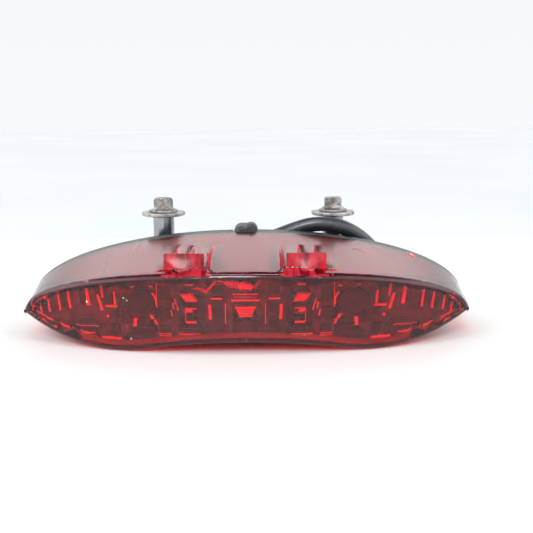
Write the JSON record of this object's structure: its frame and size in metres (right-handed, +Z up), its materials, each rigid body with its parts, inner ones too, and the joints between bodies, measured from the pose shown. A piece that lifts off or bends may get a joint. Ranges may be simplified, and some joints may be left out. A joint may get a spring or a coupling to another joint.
{
  "type": "motorcycle tail light",
  "caption": "Crescent LED tail light with a red lens, rear housing, two rubber-mounted flange bolts and a short sleeved lead ending in a plug.",
  "frame": {"origin": "middle of the lamp's footprint, on the surface that its two lower lobes rest on", "axes": "+X across the lamp to the right as seen from the lit side, +Y from the lit face to the mounting, +Z up"},
  "size_m": [0.2, 0.1308, 0.0558],
  "materials": {
    "lens_red": "clear red moulded acrylic, glossy, lightly scuffed on top",
    "housing_black": "black moulded plastic, fine grain",
    "reflector_metal": "vacuum-metallised plastic, bright",
    "sealant": "black sealant, matt",
    "board_green": "green solder resist",
    "led_red": "pale package with a clear dome",
    "resistor_black": "black ceramic chip",
    "screw_steel": "zinc-plated",
    "header_white": "natural nylon",
    "wire_skin": "PVC insulation",
    "grommet_rubber": "matt black rubber",
    "collar_steel": "bright turned steel",
    "washer_steel": "dull weathered zinc plating",
    "bolt_steel": "dull weathered zinc plating",
    "boot_rubber": "matt black rubber",
    "sleeve_vinyl": "black vinyl sleeve with a soft sheen",
    "connector_nylon": "black nylon",
    "terminal_brass": "tinned brass",
    "lock_plastic": "natural nylon",
    "vent_plastic": "black plastic",
    "membrane_white": "white porous film"
  },
  "bodies": {
    "lamp": {"lens": "lens_red", "housing": "housing_black", "lens_seal": "sealant", "reflector": "reflector_metal", "led_board": "board_green", "leds": "led_red", "resistors": "resistor_black", "board_screws": "screw_steel", "wire_header": "header_white", "inner_wires": "wire_skin", "grommet_left": "grommet_rubber", "grommet_right": "grommet_rubber", "collar_left": "collar_steel", "collar_right": "collar_steel", "cable_boot": "boot_rubber", "cable_sleeve": "sleeve_vinyl", "connector_boot": "sleeve_vinyl", "connector_housing": "connector_nylon", "connector_terminals": "terminal_brass", "connector_lock": "lock_plastic", "vent_cap": "vent_plastic", "vent_membrane": "membrane_white"},
    "washer_left_body": {"washer_left": "washer_steel"},
    "bolt_left_body": {"flange_bolt_left": "bolt_steel"},
    "washer_right_body": {"washer_right": "washer_steel"},
    "bolt_right_body": {"flange_bolt_right": "bolt_steel"}
  },
  "joints": [
    {"name": "fixing_left_lift", "type": "slide", "parent": "lamp", "child": "washer_left_body", "axis": [0, 0, 1], "range_m": [0, 0.03]},
    {"name": "bolt_left_spin", "type": "hinge", "parent": "washer_left_body", "child": "bolt_left_body", "pos_m": [-0.041, 0.036, 0.0491], "axis": [0, 0, 1], "continuous": true},
    {"name": "fixing_right_lift", "type": "slide", "parent": "lamp", "child": "washer_right_body", "axis": [0, 0, 1], "range_m": [0, 0.03]},
    {"name": "bolt_right_spin", "type": "hinge", "parent": "washer_right_body", "child": "bolt_right_body", "pos_m": [0.041, 0.036, 0.0491], "axis": [0, 0, 1], "continuous": true}
  ]
}
